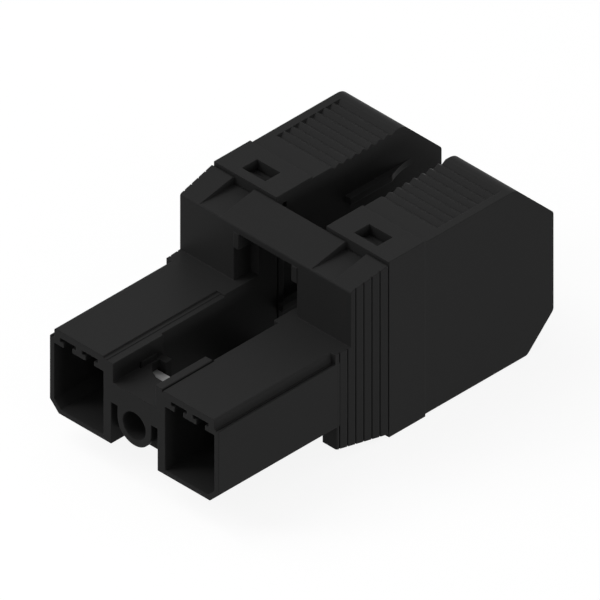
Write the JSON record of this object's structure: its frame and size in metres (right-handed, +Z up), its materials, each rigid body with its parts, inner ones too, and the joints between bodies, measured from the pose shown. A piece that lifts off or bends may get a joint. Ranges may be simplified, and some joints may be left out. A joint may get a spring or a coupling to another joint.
{
  "type": "pcb plug connector",
  "caption": "Black female plug for a circuit board header, with two long mating tubes, a flange with a nut between them, a tapered collar and two ribbed wire covers.",
  "frame": {"origin": "centre of the flange bore's mouth on the mating face", "axes": "+X to the right pole seen from the mating side, +Y from the mating face to the wire side, +Z up to the ribbed tops of the covers"},
  "size_m": [0.0322, 0.0609, 0.0278],
  "materials": {
    "housing": "black glass-filled moulding, fine spark-eroded texture, low sheen",
    "cover": "black glass-filled moulding, fine spark-eroded texture, low sheen",
    "nut": "bright zinc-plated square steel nut",
    "contact": "tin-plated copper alloy strip, satin",
    "spring_steel": "stainless spring strip, satin",
    "cage": "stamped and bent stainless strip, satin"
  },
  "bodies": {
    "root": {"flange_nut": "nut", "front_housing": "housing", "left_clamp_cage": "cage", "left_clamp_spring": "spring_steel", "left_contact": "contact", "left_contact_clip": "spring_steel", "left_wire_cover": "cover", "right_clamp_cage": "cage", "right_clamp_spring": "spring_steel", "right_contact": "contact", "right_contact_clip": "spring_steel", "right_wire_cover": "cover"}
  },
  "joints": []
}
